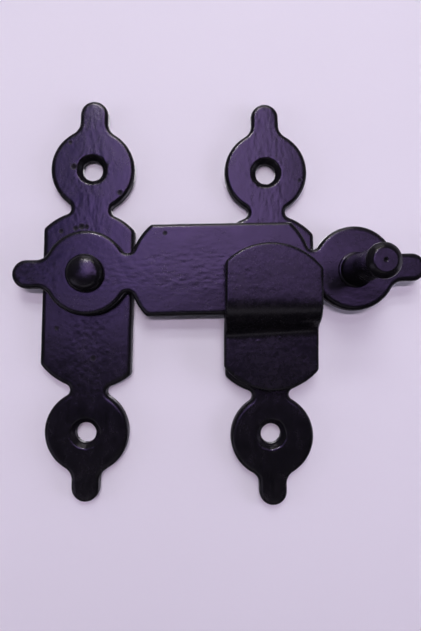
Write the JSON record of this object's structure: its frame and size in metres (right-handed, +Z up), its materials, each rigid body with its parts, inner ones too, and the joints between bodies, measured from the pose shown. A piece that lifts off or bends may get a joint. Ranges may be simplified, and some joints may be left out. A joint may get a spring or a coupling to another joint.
{
  "type": "gate latch",
  "caption": "Surface-mounted gate latch: a flat bar swings on a riveted pivot plate, drops into a joggled keeper hook on a second plate and is lifted by a turned knob.",
  "frame": {"origin": "midway between the pivot plate's two screw holes, on its back face, which lies on the mounting surface", "axes": "+Z up along the plates; +X along the closed bar from the pivot towards the knob; +Y into the mounting surface, so the knob points to -Y"},
  "size_m": [0.1346, 0.0358, 0.1349],
  "materials": {
    "black_coat": "satin black powder coat over mild steel"
  },
  "bodies": {
    "mounted_frame": {"pivot_plate": "black_coat", "pivot_rivet": "black_coat", "pivot_washer": "black_coat", "keeper_plate": "black_coat", "keeper_hook": "black_coat"},
    "swing_bar": {"latch_bar": "black_coat", "lift_knob": "black_coat"}
  },
  "joints": [
    {"name": "bar_swing", "type": "hinge", "parent": "mounted_frame", "child": "swing_bar", "pos_m": [0, -0.0071, 0.0086], "axis": [0, -1, 0], "range_deg": [0, 306]}
  ]
}
